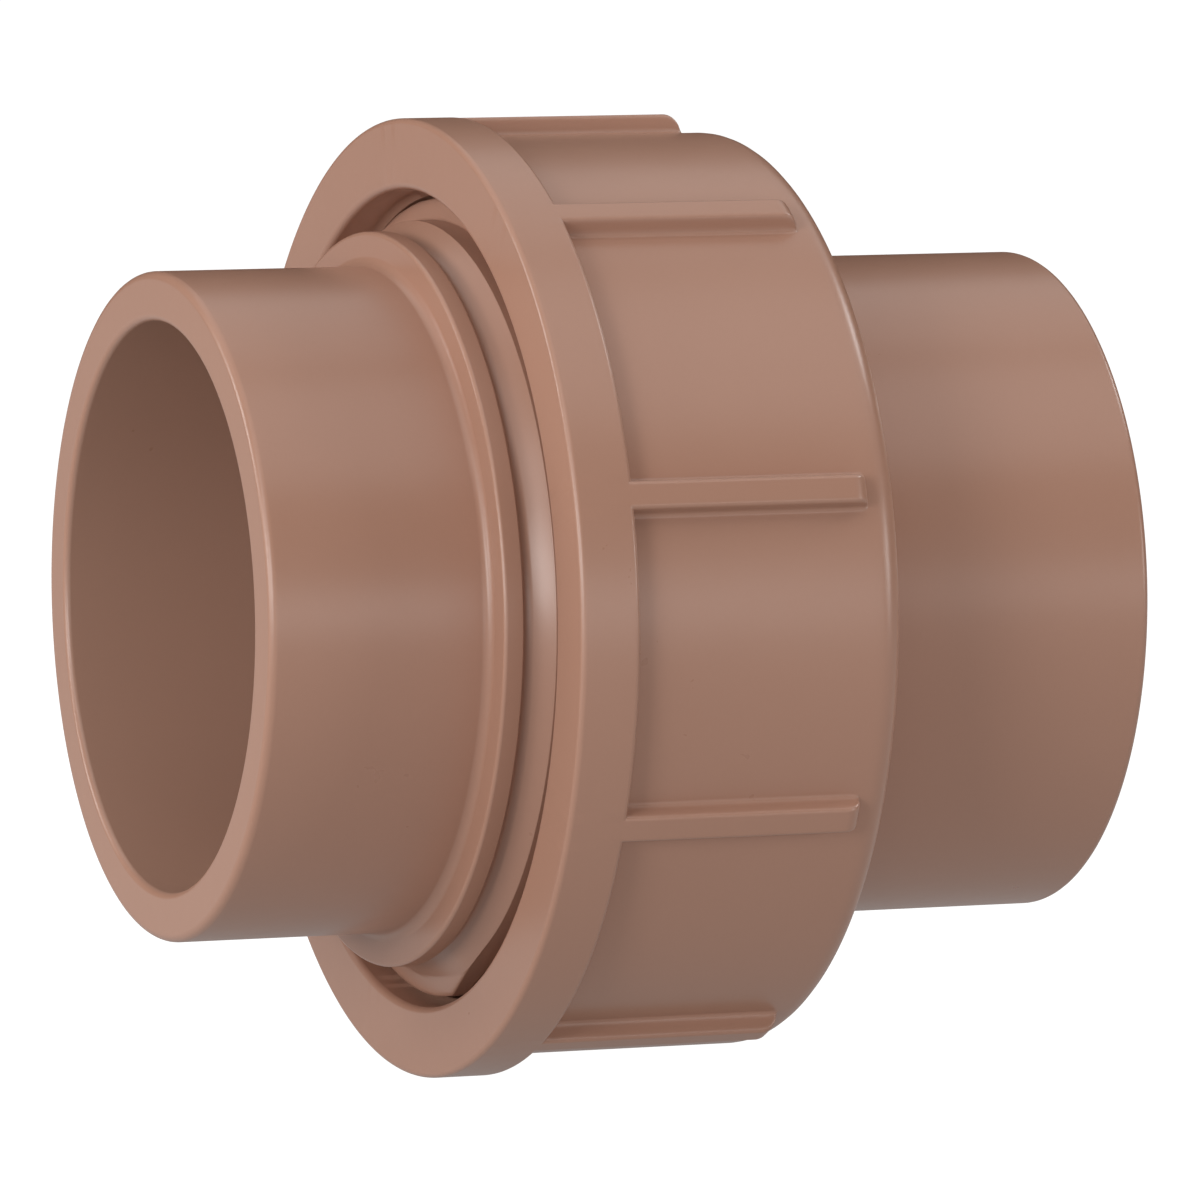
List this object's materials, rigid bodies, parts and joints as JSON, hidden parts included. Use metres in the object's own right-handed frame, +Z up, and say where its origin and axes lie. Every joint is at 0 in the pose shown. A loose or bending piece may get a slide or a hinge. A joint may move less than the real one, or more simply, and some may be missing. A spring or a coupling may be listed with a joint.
{
  "type": "pipe union",
  "caption": "Brown plastic pipe union with two plain solvent-weld sockets and a ribbed union nut that draws them together.",
  "frame": {"origin": "mid-length on the pipe axis, nut tight", "axes": "+X along the pipe from the threaded end towards the flanged end; +Z up, square to the pipe"},
  "size_m": [0.0822, 0.0848, 0.0848],
  "materials": {
    "moulded_plastic": "satin moulded, reddish brown",
    "seal_rubber": "smooth black rubber"
  },
  "bodies": {
    "threaded_end": {"threaded_end": "moulded_plastic"},
    "o_ring": {"o_ring": "seal_rubber"},
    "union_nut": {"union_nut": "moulded_plastic"},
    "flanged_end": {"flanged_end": "moulded_plastic"}
  },
  "joints": [
    {"name": "ends_apart", "type": "slide", "parent": "threaded_end", "child": "o_ring", "axis": [1, 0, 0], "range_m": [0, 0.012]},
    {"name": "nut_turn", "type": "hinge", "parent": "o_ring", "child": "union_nut", "pos_m": [0, 0, 0], "axis": [1, 0, 0], "range_deg": [0, 1080]},
    {"name": "tail_swivel", "type": "hinge", "parent": "o_ring", "child": "flanged_end", "pos_m": [0.02, 0, 0], "axis": [1, 0, 0], "continuous": true}
  ],
  "couplings": [
    {"joint": "ends_apart", "follows": "nut_turn", "m_per_rad": 0.00063661}
  ]
}
